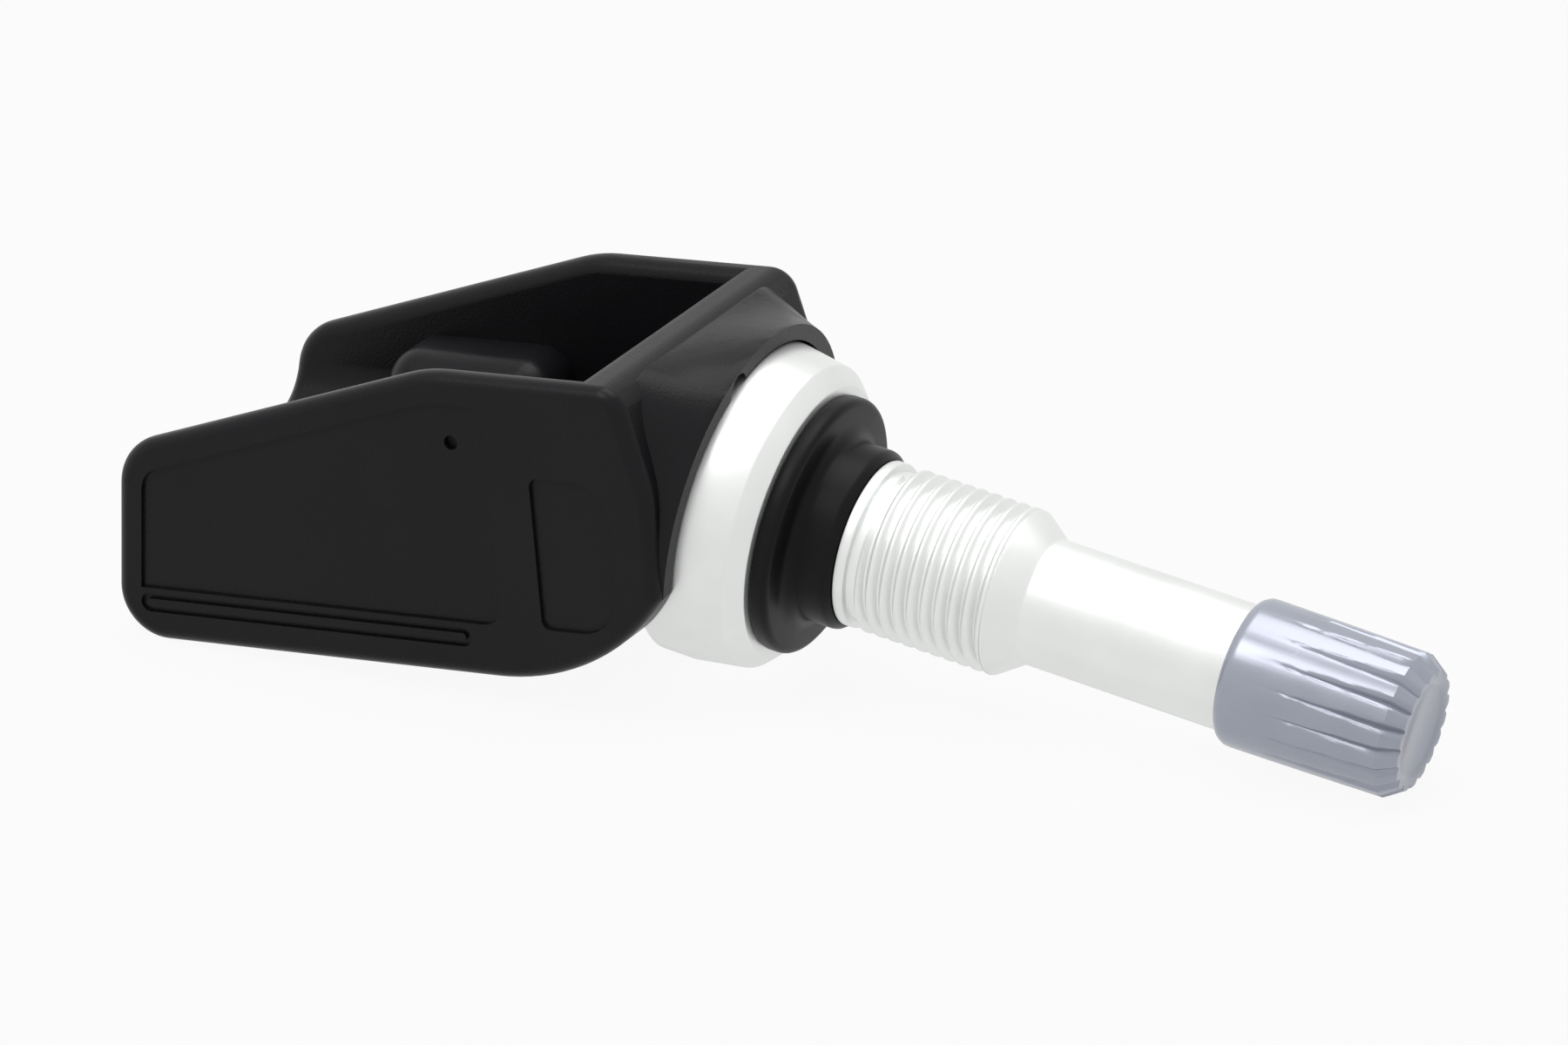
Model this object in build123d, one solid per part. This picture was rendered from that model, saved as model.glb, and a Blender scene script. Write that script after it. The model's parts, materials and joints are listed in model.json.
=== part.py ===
"""Clamp-in tyre pressure sensor: moulded housing, turned valve stem, rim seal, valve core and cap.

Everything is first built in the housing's own frame, in millimetres: X runs along the flat underside
towards the stem, Z is up, and the origin lies on the stem's axis, level with the rim of the seal's flange.
Stem stations are distances along that axis from the origin, positive towards the cap.
The finished sensor is then laid on a table: it rests on its back lower edge and on the tip of its cap.
"""
from build123d import *
import os
from math import asin, atan2, cos, degrees, hypot, radians, sin, tan

# Housing
HOUSING_WIDTH = 23.6
HOUSING_HEIGHT = 19.15
HOUSING_LENGTH = 38.2
AXIS_HEIGHT = 7.25           # origin above the flat underside
WING_SETBACK = 4.5           # origin to the wings' stem-end edge
WING_THICKNESS = 2.0
WING_EDGE_ROUND = 0.9
TROUGH_EDGE_ROUND = 1.0
BACK_LEAN = 7.0              # degrees, back edge leaning over the trough
BACK_HEIGHT = 12.4
APEX_FROM_END = 14.9         # where the sloping top meets the level top
END_SLANT = 1.8              # level top stops this far behind the wings' stem-end edge
SHOULDER_HEIGHT = 12.25
NOSE_HEIGHT = 6.05           # lower corner of the wings' stem-end edge
NOSE_SWEEP = 11.5            # length of the rounded nose along the underside
NOSE_ROUND = 1.0             # at the upper corner of that nose
BACK_LOW_ROUND = 3.1
BACK_TOP_ROUND = 3.5
APEX_ROUND = 9.0
END_TOP_ROUND = 1.8
SHOULDER_ROUND = 8.0
BRIDGE_THICKNESS = 5.1       # between the trough and the wings' stem-end edge
TROUGH_ROUND = 2.6
FLOOR_SKIN = 1.2             # trough floor over the electronics

# Socket for the stem's collar
STEM_TILT = 13.2             # degrees, stem dips below the housing's underside direction
SOCKET_WALL = 1.0            # at the rim, round the collar
SOCKET_INSET = 1.0           # flank behind the wings' outer faces where it begins
SOCKET_MOUTH = -4.3          # station of the socket's rim
FLANK_START = -9.0           # station where the flank round the socket begins
FLANK_ROUND = 4.0            # corners of the flank where it begins
COLLAR_CLEARANCE = 0.15
NOTCH_RADIUS = 0.9
NOTCH_LENGTH = 1.3
NOTCH_ANGLE = 25.0           # degrees from straight up, towards the front wing

# Well and bulges in the trough
WELL_WALL = 1.0              # between the well and the electronics compartment
WELL_WIDTH = 12.0
WELL_DEPTH = 3.4
WELL_ROUND = 1.5
BULGE_LENGTH = 11.5
BULGE_FROM_BACK = 10.0
BULGE_DEPTH = 4.6
BULGE_HEIGHT = 5.1
BULGE_ROUND = 2.2

# Shallow relief on the wings' outer faces
RELIEF_DEPTH = 0.25
PANEL_BORDER = 1.8
PANEL_END = 10.9             # panel stops this far behind the wings' stem-end edge
PANEL_ROUND = 1.2
TAB_FRAME_LENGTH = 23.0
TAB_FRAME_HEIGHT = 1.2
TAB_FRAME_LINE = 0.35
TAB_FRAME_ABOVE = 2.55       # underside to the middle of the long frame
END_FIELD_WIDTH = 5.2
END_FIELD_HEIGHT = 9.6
END_FIELD_FROM_END = 2.9
END_FIELD_ABOVE = 3.6
PIP_RADIUS = 0.45
PIP_FROM_END = 13.3
PIP_ABOVE = 14.85

# Electronics compartment, open below and closed by the base cover
COMPARTMENT_LENGTH = 21.0
COMPARTMENT_WALL = 2.1       # beside the compartment
COMPARTMENT_FROM_BACK = 3.8
COVER_LEDGE = 1.0
COVER_THICKNESS = 1.2
COVER_CLEARANCE = 0.1
COMPARTMENT_ROUND = 1.5
CELL_RADIUS = 8.0
CELL_HEIGHT = 3.2
CELL_LIP = 0.35
CELL_FROM_BACK = 8.8
BOARD_THICKNESS = 0.8
BOARD_CLEARANCE = 0.3
TAB_THICKNESS = 0.1
TAB_WIDTH = 4.0
TAB_LENGTH = 12.0
TAB_RISER_GAP = 0.9
SENSOR_LENGTH = 5.0
SENSOR_WIDTH = 6.0
SENSOR_HEIGHT = 1.2
SENSOR_FROM_FRONT = 4.0      # middle of the chip to the compartment's stem end
PORT_RADIUS = 0.8
PORT_SEAL_HEIGHT = 0.3
PORT_SEAL_WALL = 1.1
PORT_SEAL_GAP = 0.2
RADIO_SIZE = 5.0
RADIO_HEIGHT = 0.9
RADIO_BEHIND_SENSOR = 7.3
RADIO_ASIDE = 3.2
CRYSTAL_LENGTH = 3.2
CRYSTAL_WIDTH = 2.5
CRYSTAL_HEIGHT = 0.7
CRYSTAL_ASIDE = -2.6
CAPACITOR_LENGTH = 1.0
CAPACITOR_WIDTH = 0.5
CAPACITOR_COUNT = 6
CAPACITOR_PITCH = 1.4
CAPACITOR_FROM_EDGE = 2.8    # board's edge to the middle of the row
CAPACITOR_FROM_BACK = 8.2
COIL_LENGTH = 9.0
COIL_FLANGE = 1.2
COIL_WIDTH = 2.6
COIL_HEIGHT = 1.3
COIL_NECK = 0.35             # winding depth all round the core's neck
COIL_FROM_BACK = 2.9
ANTENNA_LENGTH = 17.0
ANTENNA_RETURN = 2.6
ANTENNA_THICKNESS = 0.4
ANTENNA_HEIGHT = 1.2
ANTENNA_INSET = 0.8

# Fixing screw, on the stem's axis behind the collar
SCREW_RADIUS = 2.0
SCREW_LENGTH = 6.4
SCREW_HEAD_RADIUS = 2.7
SCREW_HEAD_HEIGHT = 2.0
SCREW_HEAD_ROUND = 0.5
SCREW_TIP_CHAMFER = 0.4
DRIVE_RADIUS = 1.25
DRIVE_LOBE = 0.36
DRIVE_DEPTH = 1.3
WASHER_THICKNESS = 0.6
WASHER_RADIUS = 3.0
WASHER_CLEARANCE = 0.1
SCREW_WEB = 1.8              # bridge wall clamped between washer and collar
SCREW_HOLE_CLEARANCE = 0.2
THREAD_FIT = 0.05
SPOT_FACE_CLEARANCE = 0.3

# Valve stem, as radii and stations along its axis
COLLAR_BACK = -7.2
COLLAR_FRONT = -0.35
COLLAR_RADIUS = 10.0
COLLAR_EDGE = 0.6
COLLAR_SIDE_LENGTH = 2.1
COLLAR_CREASE_RADIUS = 9.5
COLLAR_CREASE = -1.35
COLLAR_FACE_RADIUS = 8.5
SEAL_SEAT_RADIUS = 4.5
THREAD_START = 3.75
THREAD_RING = 0.7
THREAD_GROOVE = 0.35
THREAD_DEPTH = 0.45
THREAD_PITCH = 0.907
THREAD_CREST = 0.25
THREAD_ROOT = 0.1            # flat at the bottom between two ridges
THREAD_END = 13.5
NUT_THREAD_RADIUS = 5.15
NECK_START = 15.3
NECK_RADIUS = 3.875
STEM_TIP = 37.6
TIP_CHAMFER = 0.5
AIR_BORE_RADIUS = 1.25
AIR_BORE_END = 0.5
AIR_HOLE_RADIUS = 0.9
AIR_HOLE_EXIT = -5.6

# Rim seal
SEAL_FIT = 0.03
SEAL_FLANGE_RADIUS = 8.0
SEAL_FLANGE_FRONT = 0.85
SEAL_FLANGE_ROUND = 0.45
SEAL_NECK_RADIUS = 5.6
SEAL_NECK_BLEND = 0.8
SEAL_LIP_TAPER = 0.35
SEAL_LIP_LENGTH = 0.45
SEAL_END_GAP = 0.05

# Valve core
CORE_THREAD_RADIUS = 2.6
CORE_FIT = 0.05
CORE_BELOW_TIP = 0.7
CORE_HEAD_LENGTH = 5.0
CORE_SEAT_LENGTH = 1.4
CORE_BARREL_RADIUS = 1.6
CORE_CHAMBER_RADIUS = 1.95
CORE_BARREL_LENGTH = 5.6
CORE_BARREL_WALL = 0.3
CORE_CHAMBER_LENGTH = 11.5
CORE_SEAL_RADIUS = 1.92
CORE_LEDGE = 0.3
CORE_AIR_GAP = 0.15
PIN_RADIUS = 0.6
PIN_FIT = 0.08
PIN_HEAD_RADIUS = 0.85
PIN_HEAD_HEIGHT = 0.5
PIN_STROKE = 1.0
PIN_TAIL = 1.0
PIN_FLANGE_HEIGHT = 0.3
CUP_RADIUS = 1.5
CUP_HEIGHT = 0.9
CUP_GAP = 0.05
SPRING_TURNS = 6
SPRING_WIRE = 0.1
SPRING_GAP = 0.05

# Cap
CAP_LENGTH = 11.5
CAP_END_WALL = 1.1
CAP_RADIUS = 4.55
CAP_END_RADIUS = 4.42
CAP_MOUTH_CHAMFER = 0.7
CAP_MOUTH_STEP = 0.35
CAP_END_CHAMFER = 1.1
CAP_END_STEP = 0.75
CAP_FIT = 0.08
CAP_LEAD_IN = 0.12
CAP_GROOVES = 18
CAP_GROOVE_WIDTH = 0.7
CAP_GROOVE_DEPTH = 0.32
CAP_GROOVE_START = 2.6
CAP_SEAL_THICKNESS = 1.0
CAP_SEAL_GAP = 0.05
CAP_SEAL_FIT = 0.1
CAP_SEAL_HOLE = 1.2

# Places worked out from the sizes, in the housing's frame
UNDERSIDE = -AXIS_HEIGHT
TOP = UNDERSIDE + HOUSING_HEIGHT
STEM_END = -WING_SETBACK
BACK = STEM_END - HOUSING_LENGTH
HALF_WIDTH = HOUSING_WIDTH / 2
TROUGH_HALF = HALF_WIDTH - WING_THICKNESS
BRIDGE_FACE = STEM_END - BRIDGE_THICKNESS
NOSE = (STEM_END - 0.2, UNDERSIDE + NOSE_HEIGHT)
NOSE_FOOT = (NOSE[0] - NOSE_SWEEP, UNDERSIDE)
BACK_TOP = (BACK + BACK_HEIGHT * tan(radians(BACK_LEAN)), UNDERSIDE + BACK_HEIGHT)
SOCKET_RADIUS = COLLAR_RADIUS + COLLAR_CLEARANCE
COVER_TOP = UNDERSIDE + COVER_THICKNESS
BOARD_BOTTOM = COVER_TOP + CELL_HEIGHT + 2 * TAB_THICKNESS
BOARD_TOP = BOARD_BOTTOM + BOARD_THICKNESS
CEILING = BOARD_TOP + SENSOR_HEIGHT + PORT_SEAL_HEIGHT
FLOOR = CEILING + FLOOR_SKIN
COMPARTMENT_BACK = BACK + COMPARTMENT_FROM_BACK
COMPARTMENT_FRONT = COMPARTMENT_BACK + COMPARTMENT_LENGTH
COMPARTMENT_WIDTH = HOUSING_WIDTH - 2 * COMPARTMENT_WALL
WELL_BACK = COMPARTMENT_FRONT + WELL_WALL
SENSOR_PLACE = COMPARTMENT_LENGTH - SENSOR_FROM_FRONT
RADIO_PLACE = SENSOR_PLACE - RADIO_BEHIND_SENSOR
BOARD_HALF_WIDTH = COMPARTMENT_WIDTH / 2 - BOARD_CLEARANCE
SCREW_SEAT = COLLAR_BACK - SCREW_WEB
SCREW_HEAD_SEAT = SCREW_SEAT - WASHER_THICKNESS
CAP_INNER_END = STEM_TIP + CAP_SEAL_THICKNESS + 2 * CAP_SEAL_GAP
CAP_TIP = CAP_INNER_END + CAP_END_WALL
CAP_MOUTH = CAP_TIP - CAP_LENGTH
CAP_CREST_END = CAP_TIP - CAP_END_CHAMFER
CORE_TOP = STEM_TIP - CORE_BELOW_TIP
CORE_HEAD_BOTTOM = CORE_TOP - CORE_HEAD_LENGTH
CORE_SEAT_BOTTOM = CORE_HEAD_BOTTOM - CORE_SEAT_LENGTH
CORE_BARREL_BOTTOM = CORE_SEAT_BOTTOM - CORE_BARREL_LENGTH
CORE_LEDGE_TOP = CORE_BARREL_BOTTOM + CORE_LEDGE
CORE_CHAMBER_BOTTOM = CORE_SEAT_BOTTOM - CORE_CHAMBER_LENGTH
PIN_FLANGE_LOW = CORE_SEAT_BOTTOM - PIN_FIT - PIN_FLANGE_HEIGHT
REACH = 2 * (HOUSING_LENGTH + HOUSING_WIDTH + HOUSING_HEIGHT)


def wing_outline(end_points, end_rounds):
    """Side outline of the housing; end_points run from the nose corner up to the level top."""
    points = [NOSE, *end_points, (STEM_END - APEX_FROM_END, TOP), BACK_TOP, (BACK, UNDERSIDE), NOSE_FOOT]
    rounds = [*end_rounds, APEX_ROUND, BACK_TOP_ROUND, BACK_LOW_ROUND]
    edge = FilletPolyline(*points, radius=rounds)
    nose_arc = TangentArc(NOSE_FOOT, NOSE, tangent=(1, 0))
    return make_face(edge + nose_arc)


def side_prism(face, half_width):
    """Extrudes an outline of the XZ plane to both sides of the middle plane."""
    return Pos(0, half_width, 0) * extrude(Plane.XZ * face, 2 * half_width)


def box_between(low, high):
    """Box from its lowest to its highest corner."""
    size = [b - a for a, b in zip(low, high)]
    return Pos(*low) * Box(*size, align=(Align.MIN, Align.MIN, Align.MIN))


def turned(points):
    """Solid of revolution about the X axis from (station, radius) points."""
    return revolve(make_face(Plane.XZ * Polyline(*points, close=True)), Axis.X)


def rod(start, end, radius):
    """Cylinder about the X axis between two stations."""
    return turned([(start, 0), (end, 0), (end, radius), (start, radius)])


def tube(start, end, inner, outer):
    """Ring about the X axis between two stations."""
    return turned([(start, inner), (end, inner), (end, outer), (start, outer)])


def on_stem(shape):
    """Tilts a shape built about the X axis onto the stem's axis."""
    return Rot(0, STEM_TILT, 0) * shape


def wing_block():
    """Solid block with the wings' outline and rounded outer edges."""
    end_points = [(STEM_END, UNDERSIDE + SHOULDER_HEIGHT), (STEM_END - END_SLANT, TOP)]
    outline = wing_outline(end_points, [SHOULDER_ROUND, END_TOP_ROUND])
    nose_corner = outline.vertices().sort_by_distance(NOSE)[0]
    block = side_prism(fillet(nose_corner, NOSE_ROUND), HALF_WIDTH)
    outer_faces = block.faces().filter_by(Axis.Y)
    return fillet(outer_faces.edges(), WING_EDGE_ROUND)


def socket_flank():
    """Smooth flank from between the wings to the socket's round rim, trimmed by the nose below."""
    tilt = radians(STEM_TILT)
    top = (TOP + FLANK_START * sin(tilt)) / cos(tilt)
    wide = 2 * (HALF_WIDTH - SOCKET_INSET)
    begin = Plane(origin=(FLANK_START, 0, top), x_dir=(0, 1, 0), z_dir=(1, 0, 0))
    corners = Pos(0, -wide / 2) * RectangleRounded(wide, wide, FLANK_ROUND)
    rim = Plane(origin=(SOCKET_MOUTH, 0, 0), x_dir=(0, 1, 0), z_dir=(1, 0, 0))
    flank = loft([begin * corners, rim * Circle(SOCKET_RADIUS + SOCKET_WALL)])
    front = (REACH, NOSE[1])
    envelope = side_prism(wing_outline([front, (REACH, TOP)], [0, 0]), HALF_WIDTH)
    return on_stem(flank) & envelope


def trough():
    """Space between the wings, open at the top and at the back."""
    section = Rectangle(2 * TROUGH_HALF, 2 * REACH, align=(Align.CENTER, Align.MIN))
    corners = section.vertices().group_by(Axis.Y)[0]
    section = fillet(corners, TROUGH_ROUND)
    end = Plane(origin=(BRIDGE_FACE, 0, FLOOR), x_dir=(0, -1, 0), z_dir=(-1, 0, 0))
    return extrude(end * section, REACH)


def bulge(side):
    """Rounded bulge on a wing's inner face, standing on the trough floor."""
    back = BACK + BULGE_FROM_BACK
    inner = TROUGH_HALF - BULGE_DEPTH
    outer = TROUGH_HALF + WING_THICKNESS / 2
    block = box_between((back, inner, CEILING), (back + BULGE_LENGTH, outer, FLOOR + BULGE_HEIGHT))
    showing = block.edges().filter_by(lambda e: e.center().Y < TROUGH_HALF and e.center().Z > FLOOR)
    block = fillet(showing, BULGE_ROUND)
    return block if side > 0 else mirror(block, Plane.XZ)


def relief(face, side):
    """Shallow cut in a wing's outer face; side is 1 for the rear wing and -1 for the front one."""
    cut = extrude(Plane.XZ * face, RELIEF_DEPTH, both=True)
    return Pos(0, side * HALF_WIDTH, 0) * cut


def panel_face():
    """Sunken panel that follows the wing's outline inside a plain border."""
    end_points = [(STEM_END, UNDERSIDE + SHOULDER_HEIGHT), (STEM_END - END_SLANT, TOP)]
    inside = offset(wing_outline(end_points, [SHOULDER_ROUND, END_TOP_ROUND]), -PANEL_BORDER)
    low = UNDERSIDE + TAB_FRAME_ABOVE + TAB_FRAME_HEIGHT / 2 + TAB_FRAME_LINE
    window = Rectangle(HOUSING_LENGTH - PANEL_END, HOUSING_HEIGHT, align=(Align.MIN, Align.MIN))
    panel = inside & Pos(BACK, low) * window
    end_corners = panel.vertices().group_by(Axis.X)[-1]
    return fillet(end_corners, PANEL_ROUND)


def frame_line_face():
    """Thin long frame with round ends under the panel."""
    middle = (BACK + PANEL_BORDER + TAB_FRAME_LENGTH / 2 + TAB_FRAME_LINE, UNDERSIDE + TAB_FRAME_ABOVE)
    outer = SlotOverall(TAB_FRAME_LENGTH, TAB_FRAME_HEIGHT)
    inner = SlotOverall(TAB_FRAME_LENGTH - 2 * TAB_FRAME_LINE, TAB_FRAME_HEIGHT - 2 * TAB_FRAME_LINE)
    return Pos(*middle) * (outer - inner)


def end_field_face():
    """Plain field near the stem end, square on one side and round on the other."""
    left = STEM_END - END_FIELD_FROM_END - END_FIELD_WIDTH
    low = UNDERSIDE + END_FIELD_ABOVE
    field = Pos(left, low) * Rectangle(END_FIELD_WIDTH, END_FIELD_HEIGHT, align=(Align.MIN, Align.MIN))
    by_side = field.vertices().group_by(Axis.X)
    field = fillet(by_side[-1], END_FIELD_WIDTH / 2)
    return fillet(field.vertices().group_by(Axis.X)[0], PANEL_ROUND / 2)


def compartment_outline(margin):
    """Plan outline of the electronics compartment, widened by a margin."""
    middle = (COMPARTMENT_BACK + COMPARTMENT_FRONT) / 2
    return Pos(middle, 0) * RectangleRounded(
        COMPARTMENT_LENGTH + 2 * margin, COMPARTMENT_WIDTH + 2 * margin, COMPARTMENT_ROUND
    )


def plate(outline, low, high):
    """Flat plate of a plan outline between two heights."""
    return extrude(Pos(0, 0, low) * outline, high - low)


def make_housing():
    """One moulding: wings, trough, bridge, socket and the compartment below the floor."""
    body = wing_block() - trough()
    inner_edges = body.edges().filter_by(lambda e: abs(abs(e.center().Y) - TROUGH_HALF) < 0.01)
    wing_rims = [e for e in inner_edges if e.center().Z > FLOOR and e.center().X < BRIDGE_FACE - 0.01]
    along_rims = [e for e in wing_rims if e.center().Z > FLOOR + TROUGH_ROUND + 0.01]
    across = body.edges().filter_by(lambda e: abs(e.center().X - BRIDGE_FACE) < 0.01)
    bridge_rim = [e for e in across if abs(e.center().Z - TOP) < 0.01]
    body = fillet([*along_rims, *bridge_rim], TROUGH_EDGE_ROUND)
    body += socket_flank()
    body += bulge(1) + bulge(-1)
    well = box_between(
        (WELL_BACK, -WELL_WIDTH / 2, FLOOR - WELL_DEPTH), (BRIDGE_FACE, WELL_WIDTH / 2, TOP)
    )
    body -= fillet(well.edges().filter_by(Axis.Z), WELL_ROUND)
    body -= on_stem(rod(COLLAR_BACK, REACH, SOCKET_RADIUS))
    body -= on_stem(rod(WELL_BACK, SCREW_SEAT, WASHER_RADIUS + SPOT_FACE_CLEARANCE))
    body -= on_stem(rod(SCREW_SEAT, COLLAR_BACK, SCREW_RADIUS + SCREW_HOLE_CLEARANCE))
    notch = Pos(0, 0, SOCKET_RADIUS) * rod(SOCKET_MOUTH - NOTCH_LENGTH, REACH, NOTCH_RADIUS)
    body -= on_stem(Rot(NOTCH_ANGLE, 0, 0) * notch)
    body -= plate(compartment_outline(0), UNDERSIDE, CEILING)
    body -= plate(compartment_outline(COVER_LEDGE), UNDERSIDE, COVER_TOP)
    body -= Pos(COMPARTMENT_BACK + SENSOR_PLACE, 0, FLOOR) * Cylinder(PORT_RADIUS, 4 * FLOOR_SKIN)
    for side in (-1, 1):
        body -= relief(panel_face(), side)
    body -= relief(frame_line_face(), -1)
    body -= relief(end_field_face(), -1)
    pip = Plane.XZ * (Pos(STEM_END - PIP_FROM_END, UNDERSIDE + PIP_ABOVE) * Circle(PIP_RADIUS))
    body -= Pos(0, -HALF_WIDTH, 0) * extrude(pip, 3 * RELIEF_DEPTH, both=True)
    return body


def make_base_cover():
    """Flat cover that closes the compartment, flush with the underside."""
    return plate(compartment_outline(COVER_LEDGE - COVER_CLEARANCE), UNDERSIDE, COVER_TOP)


def make_circuit_board():
    """Board over the cell, carrying the chips on its upper side."""
    return plate(compartment_outline(-BOARD_CLEARANCE), BOARD_BOTTOM, BOARD_TOP)


def cell_middle():
    """Middle of the coin cell in plan."""
    return COMPARTMENT_BACK + CELL_FROM_BACK


def make_battery():
    """Sealed coin cell: can with a smaller lower pole."""
    low = COVER_TOP + TAB_THICKNESS
    pole = Pos(cell_middle(), 0, low) * Cylinder(
        CELL_RADIUS - 4 * CELL_LIP, CELL_LIP, align=(Align.CENTER, Align.CENTER, Align.MIN)
    )
    can = Pos(cell_middle(), 0, low + CELL_LIP) * Cylinder(
        CELL_RADIUS, CELL_HEIGHT - CELL_LIP, align=(Align.CENTER, Align.CENTER, Align.MIN)
    )
    return pole + fillet(can.edges().filter_by(GeomType.CIRCLE), CELL_LIP)


def make_battery_tab_positive():
    """Flat strip between the cell's can and the board."""
    half = TAB_LENGTH / 2
    return box_between(
        (cell_middle() - half, -TAB_WIDTH / 2, BOARD_BOTTOM - TAB_THICKNESS),
        (cell_middle() + half, TAB_WIDTH / 2, BOARD_BOTTOM),
    )


def make_battery_tab_negative():
    """Strip under the cell's pole that rises to the board beside the cell."""
    riser = cell_middle() + CELL_RADIUS + TAB_RISER_GAP
    strip = box_between(
        (cell_middle() - TAB_LENGTH / 2, -TAB_WIDTH / 2, COVER_TOP),
        (riser + TAB_THICKNESS, TAB_WIDTH / 2, COVER_TOP + TAB_THICKNESS),
    )
    post = box_between(
        (riser, -TAB_WIDTH / 2, COVER_TOP), (riser + TAB_THICKNESS, TAB_WIDTH / 2, BOARD_BOTTOM)
    )
    return strip + post


def on_board(length, width, height, from_back, aside):
    """Box standing on the board, placed by its middle."""
    middle = COMPARTMENT_BACK + from_back
    return box_between(
        (middle - length / 2, aside - width / 2, BOARD_TOP),
        (middle + length / 2, aside + width / 2, BOARD_TOP + height),
    )


def make_sensor_chip():
    """Pressure sensing chip with its inlet facing the port."""
    chip = on_board(SENSOR_LENGTH, SENSOR_WIDTH, SENSOR_HEIGHT, SENSOR_PLACE, 0)
    inlet = Pos(COMPARTMENT_BACK + SENSOR_PLACE, 0, BOARD_TOP + SENSOR_HEIGHT)
    return chip - inlet * Cylinder(PORT_RADIUS, SENSOR_HEIGHT)


def make_port_seal():
    """Rubber ring squeezed between the sensing chip and the floor."""
    inner = PORT_RADIUS + PORT_SEAL_GAP
    base = Pos(COMPARTMENT_BACK + SENSOR_PLACE, 0, CEILING - PORT_SEAL_HEIGHT)
    return base * extrude(Circle(inner + PORT_SEAL_WALL) - Circle(inner), PORT_SEAL_HEIGHT)


def make_radio_chip():
    """Transmitter chip."""
    return on_board(RADIO_SIZE, RADIO_SIZE, RADIO_HEIGHT, RADIO_PLACE, RADIO_ASIDE)


def make_crystal():
    """Quartz crystal in its can."""
    can = on_board(CRYSTAL_LENGTH, CRYSTAL_WIDTH, CRYSTAL_HEIGHT, RADIO_PLACE, CRYSTAL_ASIDE)
    return fillet(can.edges().filter_by(Axis.Z), CRYSTAL_WIDTH / 6)


def make_chip_capacitors():
    """Row of small capacitors along one edge of the board."""
    row = []
    aside = CAPACITOR_FROM_EDGE - BOARD_HALF_WIDTH
    for index in range(CAPACITOR_COUNT):
        place = CAPACITOR_FROM_BACK + index * CAPACITOR_PITCH
        row.append(on_board(CAPACITOR_WIDTH, CAPACITOR_LENGTH, CAPACITOR_WIDTH, place, aside))
    return row


def make_coil_core():
    """Ferrite core of the wake-up coil, a bar with two flanges."""
    bar = on_board(COIL_WIDTH, COIL_LENGTH, COIL_HEIGHT, COIL_FROM_BACK, 0)
    return bar - coil_wrap()


def coil_wrap():
    """Space of the winding round the core's neck."""
    length = COIL_LENGTH - 2 * COIL_FLANGE
    outer = on_board(COIL_WIDTH, length, COIL_HEIGHT, COIL_FROM_BACK, 0)
    neck = on_board(COIL_WIDTH - 2 * COIL_NECK, length, COIL_HEIGHT - 2 * COIL_NECK, COIL_FROM_BACK, 0)
    return outer - Pos(0, 0, COIL_NECK) * neck


def make_coil_winding():
    """Copper winding round the core's neck."""
    return coil_wrap()


def make_antenna_strip():
    """Folded strip antenna standing along the edge of the board."""
    aside = BOARD_HALF_WIDTH - ANTENNA_INSET - ANTENNA_THICKNESS / 2
    middle = COMPARTMENT_LENGTH / 2
    strip = on_board(ANTENNA_LENGTH, ANTENNA_THICKNESS, ANTENNA_HEIGHT, middle, aside)
    for end in (-1, 1):
        place = middle + end * (ANTENNA_LENGTH - ANTENNA_THICKNESS) / 2
        back_by = aside - (ANTENNA_RETURN - ANTENNA_THICKNESS) / 2
        strip += on_board(ANTENNA_THICKNESS, ANTENNA_RETURN, ANTENNA_HEIGHT, place, back_by)
    return strip


def make_fixing_screw():
    """Round-headed screw with a six-lobed drive, through the bridge into the collar."""
    tip = SCREW_HEAD_SEAT + SCREW_LENGTH
    head_top = SCREW_HEAD_SEAT - SCREW_HEAD_HEIGHT
    screw = turned([
        (head_top, 0),
        (head_top, SCREW_HEAD_RADIUS - SCREW_HEAD_ROUND),
        (head_top + SCREW_HEAD_ROUND, SCREW_HEAD_RADIUS),
        (SCREW_HEAD_SEAT, SCREW_HEAD_RADIUS),
        (SCREW_HEAD_SEAT, SCREW_RADIUS),
        (tip - SCREW_TIP_CHAMFER, SCREW_RADIUS),
        (tip, SCREW_RADIUS - SCREW_TIP_CHAMFER),
        (tip, 0),
    ])
    drive = rod(head_top, head_top + DRIVE_DEPTH, DRIVE_RADIUS)
    for index in range(6):
        lobe = Pos(0, 0, DRIVE_RADIUS) * rod(head_top, head_top + DRIVE_DEPTH, DRIVE_LOBE)
        drive += Rot(60 * index, 0, 0) * lobe
    return on_stem(screw - drive)


def make_screw_washer():
    """Plain washer under the screw's head."""
    return on_stem(tube(SCREW_HEAD_SEAT, SCREW_SEAT, SCREW_RADIUS + WASHER_CLEARANCE, WASHER_RADIUS))


def stem_bore():
    """Bore for the valve core, narrowing to the air passage."""
    head = CORE_THREAD_RADIUS + CORE_FIT
    drill_point = AIR_BORE_END - AIR_BORE_RADIUS / 2
    return turned([
        (STEM_TIP, 0),
        (STEM_TIP, head),
        (CORE_HEAD_BOTTOM, head),
        (CORE_SEAT_BOTTOM, CORE_CHAMBER_RADIUS),
        (CORE_CHAMBER_BOTTOM, CORE_CHAMBER_RADIUS),
        (CORE_CHAMBER_BOTTOM - CORE_SEAT_LENGTH / 2, AIR_BORE_RADIUS),
        (AIR_BORE_END, AIR_BORE_RADIUS),
        (drill_point, 0),
    ])


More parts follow.
